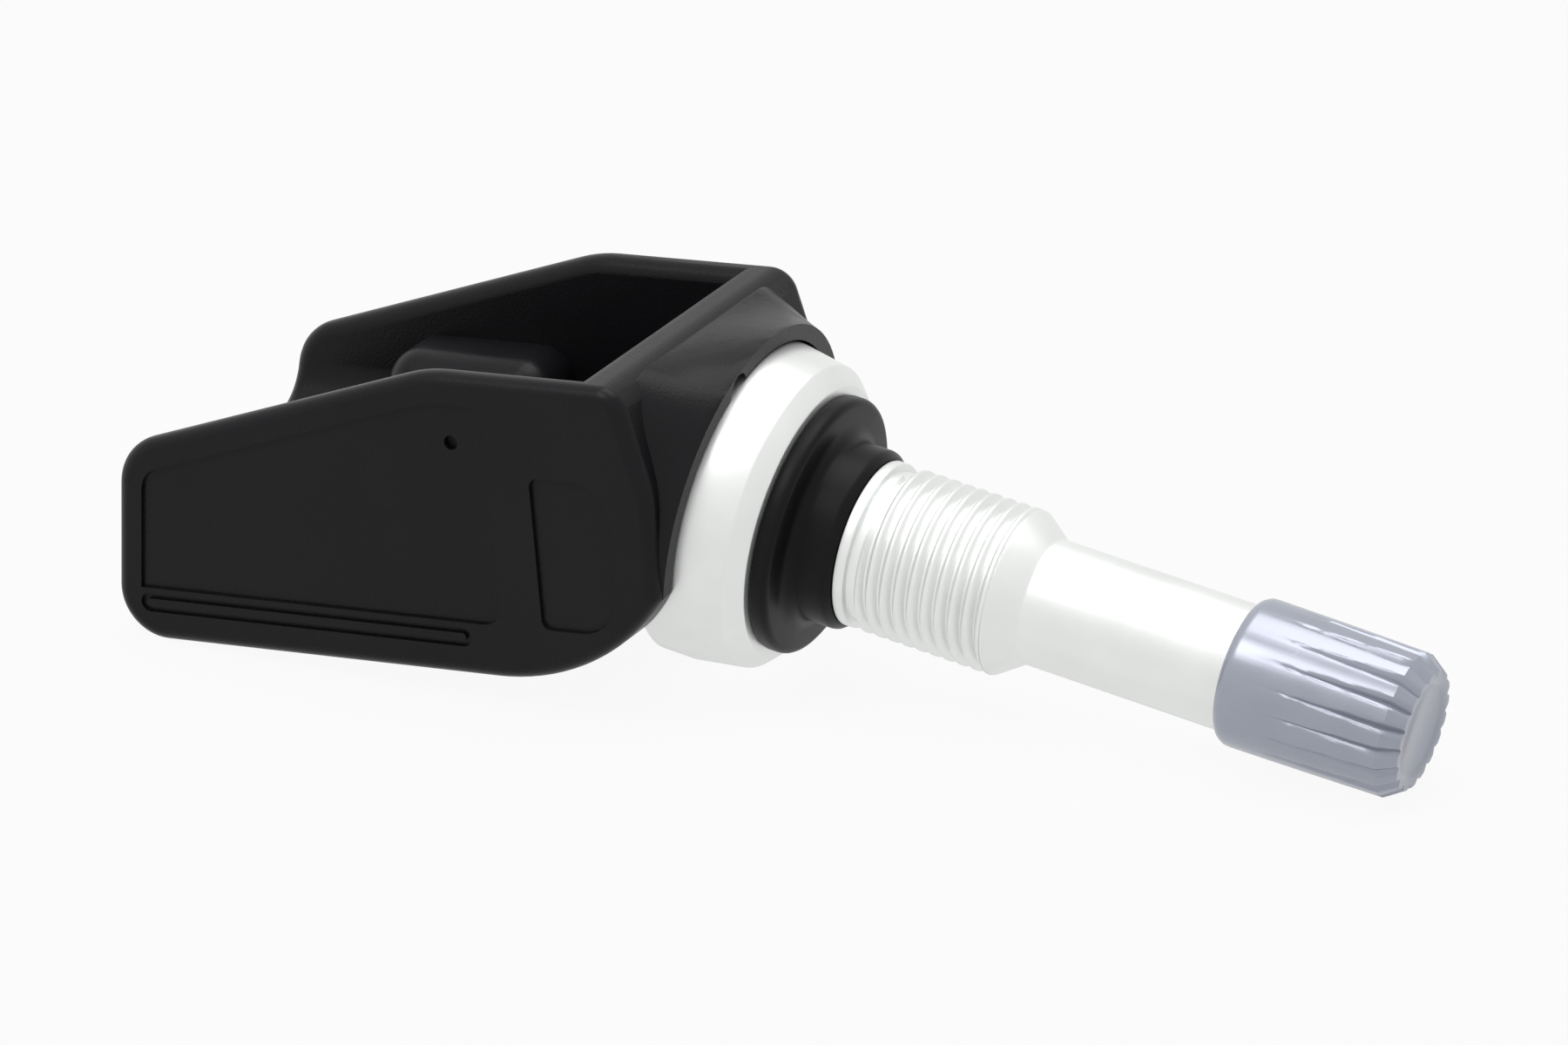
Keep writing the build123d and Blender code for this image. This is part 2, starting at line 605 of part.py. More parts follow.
def air_hole():
    """Slanting hole from the end of the bore to the side of the collar, below the socket's notch."""
    run = AIR_HOLE_EXIT - AIR_BORE_END
    length = hypot(run, COLLAR_RADIUS)
    drill = rod(0, length + NOTCH_RADIUS, AIR_HOLE_RADIUS)
    slant = degrees(atan2(COLLAR_RADIUS, run))
    return Rot(NOTCH_ANGLE, 0, 0) * Pos(AIR_BORE_END, 0, 0) * Rot(0, -slant, 0) * drill


def nut_thread(low):
    """Outline of the nut thread's ridges, as rings, with a crest halfway along the thread."""
    middle = (THREAD_START + THREAD_END) / 2
    behind = int((middle - low - THREAD_CREST / 2) / THREAD_PITCH)
    ahead = int((THREAD_END - middle - THREAD_CREST / 2) / THREAD_PITCH)
    root = NUT_THREAD_RADIUS - THREAD_DEPTH
    reach = (THREAD_PITCH - THREAD_CREST) / 2
    points = []
    for index in range(-behind, ahead):
        groove = middle + (index + 0.5) * THREAD_PITCH
        points += [(groove - reach, NUT_THREAD_RADIUS), (groove - THREAD_ROOT / 2, root)]
        points += [(groove + THREAD_ROOT / 2, root), (groove + reach, NUT_THREAD_RADIUS)]
    return points


def make_valve_stem():
    """Turned stem: collar, seat for the seal, nut thread, neck and filling thread."""
    ring_end = THREAD_START + THREAD_RING
    thread_low = ring_end + THREAD_GROOVE
    groove_radius = NUT_THREAD_RADIUS - THREAD_DEPTH
    stem = turned([
        (COLLAR_BACK, 0),
        (COLLAR_BACK, COLLAR_RADIUS - COLLAR_EDGE),
        (COLLAR_BACK + COLLAR_EDGE, COLLAR_RADIUS),
        (COLLAR_BACK + COLLAR_EDGE + COLLAR_SIDE_LENGTH, COLLAR_RADIUS),
        (COLLAR_CREASE, COLLAR_CREASE_RADIUS),
        (COLLAR_FRONT, COLLAR_FACE_RADIUS),
        (COLLAR_FRONT, SEAL_SEAT_RADIUS),
        (THREAD_START, SEAL_SEAT_RADIUS),
        (THREAD_START, NUT_THREAD_RADIUS),
        (ring_end, NUT_THREAD_RADIUS),
        (ring_end, groove_radius),
        (thread_low, groove_radius),
        (thread_low, NUT_THREAD_RADIUS),
        *nut_thread(thread_low),
        (THREAD_END, NUT_THREAD_RADIUS),
        (NECK_START, NECK_RADIUS),
        (STEM_TIP - TIP_CHAMFER, NECK_RADIUS),
        (STEM_TIP, NECK_RADIUS - TIP_CHAMFER),
        (STEM_TIP, 0),
    ])
    stem -= stem_bore()
    stem -= air_hole()
    screw_depth = SCREW_HEAD_SEAT + SCREW_LENGTH + SCREW_TIP_CHAMFER
    stem -= rod(COLLAR_BACK, screw_depth, SCREW_RADIUS + THREAD_FIT)
    return on_stem(stem)


def make_rim_seal():
    """Rubber grommet: flange against the collar, neck for the rim's hole, tapered lip."""
    inner = SEAL_SEAT_RADIUS + SEAL_FIT
    end = THREAD_START - SEAL_END_GAP
    points = [
        (COLLAR_FRONT, inner),
        (COLLAR_FRONT, SEAL_FLANGE_RADIUS),
        (SEAL_FLANGE_FRONT, SEAL_FLANGE_RADIUS),
        (SEAL_FLANGE_FRONT, SEAL_NECK_RADIUS),
        (end - SEAL_LIP_LENGTH, SEAL_NECK_RADIUS),
        (end, SEAL_NECK_RADIUS - SEAL_LIP_TAPER),
        (end, inner),
    ]
    rounds = [0, SEAL_FLANGE_ROUND / 2, SEAL_FLANGE_ROUND, SEAL_NECK_BLEND, 0, 0, 0]
    section = make_face(Plane.XZ * FilletPolyline(*points, radius=rounds, close=True))
    return on_stem(revolve(section, Axis.X))


def make_core_body():
    """Threaded plug of the valve core with the barrel and ledge that hold the spring."""
    bore = PIN_RADIUS + PIN_FIT
    inside = CORE_BARREL_RADIUS - CORE_BARREL_WALL
    body = turned([
        (CORE_TOP, bore),
        (CORE_TOP, CORE_THREAD_RADIUS),
        (CORE_HEAD_BOTTOM, CORE_THREAD_RADIUS),
        (CORE_HEAD_BOTTOM, CORE_BARREL_RADIUS),
        (CORE_BARREL_BOTTOM, CORE_BARREL_RADIUS),
        (CORE_BARREL_BOTTOM, bore + CORE_AIR_GAP),
        (CORE_LEDGE_TOP, bore + CORE_AIR_GAP),
        (CORE_LEDGE_TOP, inside),
        (CORE_SEAT_BOTTOM, inside),
        (CORE_SEAT_BOTTOM, bore),
    ])
    pin_room = rod(CORE_TOP - PIN_HEAD_HEIGHT - PIN_STROKE - PIN_FIT, CORE_TOP, PIN_HEAD_RADIUS + PIN_FIT)
    return on_stem(body - pin_room)


def make_core_seal():
    """Tapered ring that seals the core's barrel in the stem's seat."""
    bottom = CORE_SEAT_BOTTOM - CORE_SEAT_LENGTH / 2
    top_radius = CORE_SEAL_RADIUS + (CORE_THREAD_RADIUS - CORE_CHAMBER_RADIUS) / 2
    return on_stem(turned([
        (bottom, CORE_BARREL_RADIUS + SEAL_FIT),
        (bottom, CORE_SEAL_RADIUS),
        (CORE_SEAT_BOTTOM, CORE_SEAL_RADIUS),
        (CORE_SEAT_BOTTOM + CORE_SEAT_LENGTH / 2, top_radius),
        (CORE_HEAD_BOTTOM, top_radius),
        (CORE_HEAD_BOTTOM, CORE_BARREL_RADIUS + SEAL_FIT),
    ]))


def make_core_pin():
    """Pin that is pressed to open the valve, with a flange that rests on the spring."""
    tail = CORE_BARREL_BOTTOM - CUP_GAP - CUP_HEIGHT - PIN_TAIL
    flange = CORE_BARREL_RADIUS - CORE_BARREL_WALL - CORE_AIR_GAP
    return on_stem(turned([
        (tail, 0),
        (tail, 2 * PIN_RADIUS),
        (tail + PIN_TAIL, 2 * PIN_RADIUS),
        (tail + PIN_TAIL, PIN_RADIUS),
        (PIN_FLANGE_LOW, PIN_RADIUS),
        (PIN_FLANGE_LOW, flange),
        (PIN_FLANGE_LOW + PIN_FLANGE_HEIGHT, flange),
        (PIN_FLANGE_LOW + PIN_FLANGE_HEIGHT, PIN_RADIUS),
        (CORE_TOP - PIN_HEAD_HEIGHT, PIN_RADIUS),
        (CORE_TOP - PIN_HEAD_HEIGHT, PIN_HEAD_RADIUS),
        (CORE_TOP, PIN_HEAD_RADIUS),
        (CORE_TOP, 0),
    ]))


def make_core_cup():
    """Rubber cup on the pin that closes the end of the barrel."""
    top = CORE_BARREL_BOTTOM - CUP_GAP
    return on_stem(tube(top - CUP_HEIGHT, top, PIN_RADIUS + SEAL_FIT, CUP_RADIUS))


def make_core_spring():
    """Coil spring round the pin inside the barrel, pushing the pin's flange up and the cup shut."""
    wire_centre = PIN_RADIUS + PIN_FIT + 2 * SPRING_WIRE + SPRING_GAP
    low = CORE_LEDGE_TOP + SPRING_WIRE + SPRING_GAP
    height = PIN_FLANGE_LOW - SPRING_WIRE - SPRING_GAP - low
    path = Helix(height / SPRING_TURNS, height, wire_centre)
    section = Plane(origin=path @ 0, z_dir=path % 0) * Circle(SPRING_WIRE)
    coil = sweep(section, path=path, is_frenet=True)
    return on_stem(Pos(low, 0, 0) * Rot(0, 90, 0) * coil)


def make_valve_cap():
    """Cap with lengthwise grooves that deepen towards its closed end."""
    bore = NECK_RADIUS + CAP_FIT
    cap = turned([
        (CAP_MOUTH, bore + CAP_LEAD_IN),
        (CAP_MOUTH, CAP_RADIUS - CAP_MOUTH_STEP),
        (CAP_MOUTH + CAP_MOUTH_CHAMFER, CAP_RADIUS),
        (CAP_CREST_END, CAP_END_RADIUS),
        (CAP_TIP, CAP_END_RADIUS - CAP_END_STEP),
        (CAP_TIP, 0),
        (CAP_INNER_END, 0),
        (CAP_INNER_END, bore),
        (CAP_MOUTH + CAP_LEAD_IN, bore),
    ])
    start = CAP_MOUTH + CAP_GROOVE_START
    slope = degrees(atan2(CAP_GROOVE_DEPTH + CAP_RADIUS - CAP_END_RADIUS, CAP_TIP - start))
    bar = Rot(45, 0, 0) * Box(2 * CAP_LENGTH, CAP_GROOVE_WIDTH, CAP_GROOVE_WIDTH)
    above = CAP_GROOVE_WIDTH * cos(radians(45))
    groove = Pos(start, 0, CAP_RADIUS) * Rot(0, slope, 0) * Pos(CAP_LENGTH, 0, above) * bar
    step = 360 / CAP_GROOVES
    for index in range(CAP_GROOVES):
        cap -= Rot(180 + (index + 0.5) * step, 0, 0) * groove
    return on_stem(cap)


def make_cap_seal():
    """Rubber washer between the stem's tip and the closed end of the cap."""
    start = STEM_TIP + CAP_SEAL_GAP
    outer = NECK_RADIUS + CAP_FIT - CAP_SEAL_FIT
    return on_stem(tube(start, start + CAP_SEAL_THICKNESS, CAP_SEAL_HOLE, outer))


def lay_angle():
    """Angle in degrees between the underside and a table that touches the back edge and the cap's tip."""
    lean = radians(45 + BACK_LEAN / 2)
    edge_middle = (BACK + BACK_LOW_ROUND * tan(lean), UNDERSIDE + BACK_LOW_ROUND)
    tilt = radians(STEM_TILT)
    tip_x = CAP_CREST_END * cos(tilt) - CAP_END_RADIUS * sin(tilt)
    tip_z = -CAP_CREST_END * sin(tilt) - CAP_END_RADIUS * cos(tilt)
    across = tip_x - edge_middle[0]
    drop = edge_middle[1] - tip_z
    return degrees(atan2(drop, across) - asin(BACK_LOW_ROUND / hypot(across, drop)))


def build_nodes():
    """Every piece by its node's name, in the housing's frame."""
    return {
        "housing": make_housing(),
        "base_cover": make_base_cover(),
        "circuit_board": make_circuit_board(),
        "battery": make_battery(),
        "battery_tab_positive": make_battery_tab_positive(),
        "battery_tab_negative": make_battery_tab_negative(),
        "sensor_chip": make_sensor_chip(),
        "port_seal": make_port_seal(),
        "radio_chip": make_radio_chip(),
        "crystal": make_crystal(),
        "chip_capacitors": make_chip_capacitors(),
        "coil_core": make_coil_core(),
        "coil_winding": make_coil_winding(),
        "antenna_strip": make_antenna_strip(),
        "fixing_screw": make_fixing_screw(),
        "screw_washer": make_screw_washer(),
        "valve_stem": make_valve_stem(),
        "rim_seal": make_rim_seal(),
        "core_body": make_core_body(),
        "core_seal": make_core_seal(),
        "core_pin": make_core_pin(),
        "core_cup": make_core_cup(),
        "core_spring": make_core_spring(),
        "valve_cap": make_valve_cap(),
        "cap_seal": make_cap_seal(),
    }


def table_place(nodes):
    """Location that lays the sensor on the table, centred over the origin."""
    turn = Rot(0, -lay_angle(), 0)
    ends = [turn * nodes["housing"], turn * nodes["valve_stem"], turn * nodes["valve_cap"]]
    boxes = [shape.bounding_box() for shape in ends]
    low = [min(getattr(box.min, axis) for box in boxes) for axis in "XYZ"]
    high = [max(getattr(box.max, axis) for box in boxes) for axis in "XYZ"]
    return Pos(-(low[0] + high[0]) / 2, -(low[1] + high[1]) / 2, -low[2]) * turn


def solids_of(shape):
    """Separate solids of a piece or of a group of like pieces."""
    pieces = shape if isinstance(shape, list) else [shape]
    return [solid for piece in pieces for solid in piece.solids()]


def main():
    """Writes one STEP file for each node."""
    os.makedirs("parts", exist_ok=True)
    nodes = build_nodes()
    place = table_place(nodes)
    for name, shape in nodes.items():
        placed = [place * solid for solid in solids_of(shape)]
        export_step(placed[0] if len(placed) == 1 else Compound(children=placed), f"parts/{name}.step")


if __name__ == "__main__":
    main()
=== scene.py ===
"""Looks of a clamp-in tyre pressure sensor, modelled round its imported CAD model.

The threaded stem, its seal, the ribbed cap, the core's spring and the housing's shell are modelled here.
The other CAD pieces stay as they are and get their finishes. Lengths are in metres, in the CAD frame.
Turned pieces are drawn along X with the stem's origin at zero, and are then laid on the stem's axis.
"""
import json
from math import atan2, degrees, hypot, pi, radians

import bpy
from bpy.props import FloatProperty, FloatVectorProperty, IntProperty, PointerProperty
from mathutils import Matrix, Vector


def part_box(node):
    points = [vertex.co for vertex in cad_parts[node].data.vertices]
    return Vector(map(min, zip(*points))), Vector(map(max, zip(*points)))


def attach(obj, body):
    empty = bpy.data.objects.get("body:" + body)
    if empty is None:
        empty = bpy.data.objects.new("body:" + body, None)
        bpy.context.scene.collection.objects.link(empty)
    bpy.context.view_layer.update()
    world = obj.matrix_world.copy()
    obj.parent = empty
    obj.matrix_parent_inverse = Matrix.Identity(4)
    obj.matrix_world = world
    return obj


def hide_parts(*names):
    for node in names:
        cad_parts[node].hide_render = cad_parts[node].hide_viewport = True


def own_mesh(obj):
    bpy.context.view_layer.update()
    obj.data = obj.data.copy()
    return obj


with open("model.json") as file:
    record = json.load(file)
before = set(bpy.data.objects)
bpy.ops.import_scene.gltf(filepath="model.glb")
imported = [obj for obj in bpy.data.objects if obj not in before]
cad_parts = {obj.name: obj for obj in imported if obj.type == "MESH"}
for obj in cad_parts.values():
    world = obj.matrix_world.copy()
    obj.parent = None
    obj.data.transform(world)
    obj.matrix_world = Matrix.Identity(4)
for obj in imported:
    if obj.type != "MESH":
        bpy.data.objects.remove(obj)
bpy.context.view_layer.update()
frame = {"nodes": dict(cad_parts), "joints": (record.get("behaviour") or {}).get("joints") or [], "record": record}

bl_info = {
    "name": "Tyre pressure sensor",
    "version": (1, 0, 0),
    "blender": (4, 5, 0),
    "location": "3D View > Sidebar > Sensor",
    "description": "Models and finishes the visible pieces of a tyre pressure sensor and sets up its studio",
    "category": "Object",
}

JOINTS = {joint["name"]: joint for joint in frame["joints"]}
STEM_AXIS = Vector(JOINTS["cap_turn"]["axis"])
STEM_DIP = atan2(-STEM_AXIS.z, STEM_AXIS.x)
SLOT_OF = {row["node"]: row["material_slot"] for row in frame["record"]["subparts"]}

# Stations along the stem, measured from its origin. A thread's ridge is swept too long, and is then
# trimmed to its ends.
NUT_ROOT_START = 0.00445
NUT_SWEEP_START = 0.0045
NUT_RIDGE_START = 0.005
NUT_LEAD_IN_END = 0.005433
NUT_ROOT_END = 0.0131
NUT_RIDGE_END = 0.01346
NUT_THREAD_END = 0.0135
NUT_SWEEP_END = 0.0146
NECK_START = 0.0153
SPRING_START = 0.02535
NECK_END = 0.0284
FILL_RIDGE_START = 0.0286
FILL_ROOT_START = 0.0287
SPRING_END = 0.02997
FILL_CHAMFER_START = 0.0371
STEM_TIP = 0.0376
FILL_SWEEP_END = 0.0378
CAP_TIP = 0.0398
STEM_ORIGIN = Vector(JOINTS["cap_turn"]["pos_m"]) - STEM_AXIS * CAP_TIP

# A thread ridge's section: stations as shares of the pitch, and its rounding as a share of the depth
ROOT_SHARE = 0.06
SHOULDER_SHARE = 0.34
CREST_SHARE = 0.42
CREST_ROUNDING = 0.10

# Other lengths of the thread ridges
RIDGE_SINK = 0.00005  # of a ridge's foot under the root
FILL_CHAMFER = 0.0005
TRIM_BORE = 0.003  # inner radius of what trims a ridge
TRIM_CLEARANCE = 0.0002  # of what trims a ridge over its crest

# How finely round shapes are cut
TURNED_STEPS = 128
THREAD_STEPS = 96
SPRING_STEPS = 36
WIRE_STEPS = 12
GROOVE_STEPS = 12

# Distances within which points are merged: in drawn pieces, at trimmed ends and in the CAD housing
SEAM = 1e-7
SLIVER = 1e-6
CAD_SEAM = 2e-6

# How near a point has to be to a ring of the cap, and to a groove's side in shares of the grooves' pitch
RING_REACH = 1e-5
GROOVE_REACH = 0.01

FLAT_ANGLE = radians(0.4)  # faces that differ by less are made one
BEVEL_ANGLE = radians(25)  # edges that are sharper are rounded

# Each lamp's name, place, side and power, and the point that both lamps face
LAMPS = (
    ("overhead_softbox", (0.02, 0.12, 0.55), 0.4, 1.35),
    ("front_softbox", (-0.13, -0.26, 0.46), 0.24, 0.72),
)
LAMP_TARGET = (0, 0, 0.01)

# The surroundings' light on the object, what is added where they are seen, and how much of the floor's
# look is plain white
AMBIENT_LIGHT = 0.2
SEEN_LIGHT = 0.8
FLOOR_WHITE = 0.93

# The camera's picture width in millimetres, and the nearest distance that it shows
SENSOR_WIDTH = 36
CLIP_START = 0.01


def length(name, description, default):
    """Property for a length."""
    return FloatProperty(name=name, description=description, default=default, unit="LENGTH", precision=6)


def angle(name, description, default):
    """Property for an angle given in degrees."""
    return FloatProperty(
        name=name, description=description, default=radians(default), subtype="ANGLE", unit="ROTATION"
    )


def colour(name, description, default):
    """Property for a colour."""
    return FloatVectorProperty(
        name=name, description=description, default=default, subtype="COLOR", size=3, min=0, max=1
    )


class SensorSizes(bpy.types.PropertyGroup):
    """Sizes of the pieces that are modelled here."""

    nut_thread_radius: length("Nut thread radius", "Over the crests of the nut thread", 0.00515)
    nut_thread_root: length("Nut thread root", "At the bottom of the nut thread", 0.0047)
    nut_thread_pitch: length("Nut thread pitch", "From crest to crest of the nut thread", 0.000907)
    fill_thread_radius: length("Filling thread radius", "Over the crests under the cap", 0.003875)
    fill_thread_root: length("Filling thread root", "At the bottom of the thread under the cap", 0.00345)
    fill_thread_pitch: length("Filling thread pitch", "From crest to crest under the cap", 0.00079375)
    turned_edge: length("Turned edge", "Rounding of the stem's turned edges", 0.00009)
    moulded_edge: length("Moulded edge", "Rounding of the housing's crisp edges", 0.00012)
    cap_groove_depth: length("Cap groove depth", "Depth of the cap's grooves at its end", 0.00036)
    cap_grooves: IntProperty(name="Cap grooves", description="Grooves round the cap", default=18, min=6)
    spring_wire: length("Spring wire", "Radius of the core spring's wire", 0.0001)
    spring_radius: length("Spring radius", "To the middle of the core spring's wire", 0.00093)
    spring_turns: IntProperty(name="Spring turns", description="Turns of the core's spring", default=6, min=2)
    crisp_angle: angle("Crisp angle", "Edges sharper than this stay crisp in the shading", 32)


class SensorColours(bpy.types.PropertyGroup):
    """Colours of the finishes."""

    housing: colour("Housing", "Moulded housing", (0.0105, 0.0098, 0.0116))
    cover: colour("Cover", "Base cover", (0.024, 0.0235, 0.025))
    aluminium: colour("Aluminium", "Turned stem", (0.89, 0.905, 0.89))
    rubber: colour("Rubber", "Seals", (0.009, 0.009, 0.0098))
    cap: colour("Cap", "Moulded cap", (0.43, 0.455, 0.53))
    board: colour("Board", "Circuit board", (0.02, 0.14, 0.06))
    steel: colour("Steel", "Cell, tabs, screw and spring", (0.62, 0.62, 0.61))
    brass: colour("Brass", "Valve core", (0.72, 0.56, 0.26))
    copper: colour("Copper", "Coil winding", (0.72, 0.32, 0.16))
    epoxy: colour("Epoxy", "Chips", (0.025, 0.025, 0.027))
    ceramic: colour("Ceramic", "Small capacitors", (0.45, 0.33, 0.20))
    ferrite: colour("Ferrite", "Coil core", (0.09, 0.09, 0.095))
    floor: colour("Floor", "Studio floor", (0.7, 0.7, 0.7))


class StudioSettings(bpy.types.PropertyGroup):
    """Camera and floor."""

    camera_place: FloatVectorProperty(
        name="Camera place", description="Where the camera stands", default=(0.20961, -0.4131, 0.19969),
        subtype="TRANSLATION", unit="LENGTH", size=3, precision=6,
    )
    camera_azimuth: angle("Camera azimuth", "Camera's turn about the vertical", 27.03)
    camera_elevation: angle("Camera elevation", "How far the camera looks down", 22.25)
    camera_roll: angle("Camera roll", "Camera's turn about its line of sight", -0.58)
    camera_lens: FloatProperty(
        name="Camera lens", description="Focal length for a 36 mm wide picture", default=192.38, unit="CAMERA"
    )
    floor_size: length("Floor size", "Side of the floor", 2.4)


class Value:
    """A node's socket in a Python expression; each operator adds a Math node."""

    def __init__(self, finish, socket):
        self.finish = finish
        self.socket = socket

    def maths(self, operation, *terms):
        """Math node of that operation on the terms."""
        return self.finish.node("ShaderNodeMath", {"operation": operation}, dict(enumerate(terms)))

    def __add__(self, other):
        return self.maths("ADD", self, other)

    def __radd__(self, other):
        return self.maths("ADD", other, self)

    def __sub__(self, other):
        return self.maths("SUBTRACT", self, other)

    def __rsub__(self, other):
        return self.maths("SUBTRACT", other, self)

    def __rmul__(self, other):
        return self.maths("MULTIPLY", other, self)

    def size(self):
        """The value without its sign."""
        return self.maths("ABSOLUTE", self)

    def clamped(self):
        """The value kept between 0 and 1."""
        return self.finish.node("ShaderNodeClamp", None, {"Value": self})

    def between(self, low, high):
        """0 at low, 1 at high, straight between and level outside."""
        inputs = {"Value": self, "From Min": low, "From Max": high}
        return self.finish.node("ShaderNodeMapRange", {"clamp": True}, inputs)


class Finish:
    """A material in the making, or the world's light."""

    def __init__(self, tree):
        self.tree = tree
        self.tree.nodes.clear()

    def node(self, kind, settings=None, inputs=None, output=0):
        """Adds a node, sets it up, fills its sockets and gives one of its outputs."""
        added = self.tree.nodes.new(kind)
        for key, value in (settings or {}).items():
            setattr(added, key, value)
        for key, value in (inputs or {}).items():
            if isinstance(value, Value):
                self.tree.links.new(value.socket, added.inputs[key])
            else:
                added.inputs[key].default_value = value
        return Value(self, added.outputs[output]) if added.outputs else None

    def place(self):
        """Object coordinates: metres in the CAD frame."""
        return self.node("ShaderNodeTexCoord", output="Object")

    def stem_place(self):
        """Coordinates with X along the stem's axis from its origin."""
        origin = Matrix.Rotation(-STEM_DIP, 3, "Y") @ STEM_ORIGIN
        inputs = {"Vector": self.place(), "Location": -origin, "Rotation": (0, -STEM_DIP, 0)}
        return self.node("ShaderNodeMapping", {"vector_type": "POINT"}, inputs)

    def stretched(self, where, factors):
        """Coordinates scaled by three factors."""
        return self.node("ShaderNodeVectorMath", {"operation": "MULTIPLY"}, {0: where, 1: factors})

    def axis(self, where, letter):
        """One coordinate."""
        return self.node("ShaderNodeSeparateXYZ", None, {"Vector": where}, output=letter)

    def noise(self, where, scale, detail=3.0):
        """Noise between 0 and 1."""
        return self.node("ShaderNodeTexNoise", None, {"Vector": where, "Scale": scale, "Detail": detail})

    def mix(self, factor, low, high):
        """Colour between two colours."""
        four = [(*tone, 1) if isinstance(tone, (tuple, list)) else tone for tone in (low, high)]
        inputs = {0: factor, 6: four[0], 7: four[1]}
        return self.node("ShaderNodeMix", {"data_type": "RGBA"}, inputs, output=2)

    def bump(self, height, distance, strength):
        """Normal from a height between 0 and 1."""
        inputs = {"Height": height, "Distance": distance, "Strength": strength}
        return self.node("ShaderNodeBump", None, inputs)

    def surface(self, shader):
        """Sends a shader to the material's output."""
        self.node("ShaderNodeOutputMaterial", None, {"Surface": shader})

    def principled(self, **inputs):
        """Finishes with a principled shader whose sockets take the given values."""
        named = {key.replace("_", " "): value for key, value in inputs.items()}
        self.surface(self.node("ShaderNodeBsdfPrincipled", None, named))


def shaded(tone, factor):
    """A colour made darker or lighter, as plain numbers."""
    return tuple(min(1.0, part * factor) for part in tone)


def new_finish(name):
    """Material of that name, the frame's own where it has one, and its emptied node tree."""
    material = bpy.data.materials.get(name) or bpy.data.materials.new(name)
    material.use_nodes = True
    return material, Finish(material.node_tree)


def moulded_plastic(name, tone, rough):
    """Spark-textured dark plastic with a soft, uneven sheen."""
    material, finish = new_finish(name)
    where = finish.place()
    cloud = finish.noise(where, scale=150, detail=4)
    grain = finish.noise(where, scale=5200, detail=2)
    finish.principled(
        Base_Color=finish.mix(cloud, shaded(tone, 0.78), shaded(tone, 1.25)),
        Roughness=rough - 0.06 + 0.12 * cloud + 0.05 * grain,
        Specular_IOR_Level=0.16,
        Normal=finish.bump(grain, distance=0.00003, strength=0.55),
    )
    return material


def satin_rubber(name, tone):
    """Dark rubber with a fine bloom."""
    material, finish = new_finish(name)
    where = finish.place()
    bloom = finish.noise(where, scale=420, detail=5)
    grain = finish.noise(where, scale=6500, detail=2)
    finish.principled(
        Base_Color=finish.mix(bloom, shaded(tone, 0.75), shaded(tone, 1.6)),
        Roughness=0.30 + 0.14 * bloom,
        Specular_IOR_Level=0.11,
        Normal=finish.bump(grain, distance=0.000012, strength=0.5),
    )
    return material


def turned_metal(name, tone, rough, on_stem, metallic=1.0):
    """Metal with fine turning marks along the stem's axis, or drawn marks elsewhere."""
    material, finish = new_finish(name)
    where = finish.stem_place() if on_stem else finish.place()
    marks = finish.noise(finish.stretched(where, (14000, 60, 60)), scale=1.0, detail=2)
    cloud = finish.noise(where, scale=260, detail=4)
    finish.principled(
        Base_Color=finish.mix(cloud, shaded(tone, 0.90), shaded(tone, 1.03)),
        Metallic=metallic,
        Roughness=rough - 0.05 + 0.10 * cloud + 0.05 * marks,
        Normal=finish.bump(marks, distance=0.000004, strength=0.5),
    )
    return material


def cap_plastic(name, tone):
    """Semi-gloss grey plastic with a pale fleck and faint draw lines along the stem."""
    material, finish = new_finish(name)
    where = finish.stem_place()
    lines = finish.noise(finish.stretched(where, (120, 5200, 5200)), scale=1.0, detail=2)
    cloud = finish.noise(where, scale=300, detail=4)
    finish.principled(
        Base_Color=finish.mix(cloud, shaded(tone, 0.92), shaded(tone, 1.08)),
        Metallic=0.42,
        Roughness=0.22 + 0.08 * cloud,
        Normal=finish.bump(lines, distance=0.000005, strength=0.4),
    )
    return material


def board_laminate(name, tone):
    """Solder mask over narrow copper tracks."""
    material, finish = new_finish(name)
    where = finish.place()
    cells = finish.node(
        "ShaderNodeTexVoronoi", {"feature": "DISTANCE_TO_EDGE", "distance": "EUCLIDEAN"},
        {"Vector": where, "Scale": 900},
    )
    tracks = 1 - cells.between(0.03, 0.06)
    finish.principled(
        Base_Color=finish.mix(tracks, tone, shaded(tone, 1.8)),
        Roughness=0.32 + 0.12 * finish.noise(where, scale=800),
        Normal=finish.bump(tracks, distance=0.00002, strength=0.6),
    )
    return material


def tinned_ceramic(name, tone, tin):
    """Ceramic chips with tinned ends, told apart by their place across the board."""
    material, finish = new_finish(name)
    where = finish.place()
    low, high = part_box("chip_capacitors")
    middle = (low.y + high.y) / 2
    reach = (high.y - low.y) / 2
    aside = (finish.axis(where, "Y") - middle).size()
    ends = aside.between(0.55 * reach, 0.6 * reach)
    speck = finish.noise(where, scale=4000)
    finish.principled(
        Base_Color=finish.mix(ends, finish.mix(speck, shaded(tone, 0.8), shaded(tone, 1.15)), tin),
        Metallic=ends,
        Roughness=0.5 - 0.2 * ends,
    )
    return material


def wound_wire(name, tone):
    """Enamelled wire laid side by side across the coil's core, with painted shade darkening the gaps between
    turns.
    """
    material, finish = new_finish(name)
    where = finish.place()
    wires = finish.node(
        "ShaderNodeTexWave", {"wave_type": "BANDS", "bands_direction": "Y", "wave_profile": "SIN"},
        {"Vector": where, "Scale": 1600, "Distortion": 0.4, "Detail": 1.0},
    )
    finish.principled(
        # painted shade: the colour darkens to 0.45 of the copper along the gaps between the wires
        Base_Color=finish.mix(wires, shaded(tone, 0.45), tone),
        Metallic=0.85,
        Roughness=0.28 + 0.1 * finish.noise(where, scale=900),
        Normal=finish.bump(wires, distance=0.00005, strength=0.9),
    )
    return material


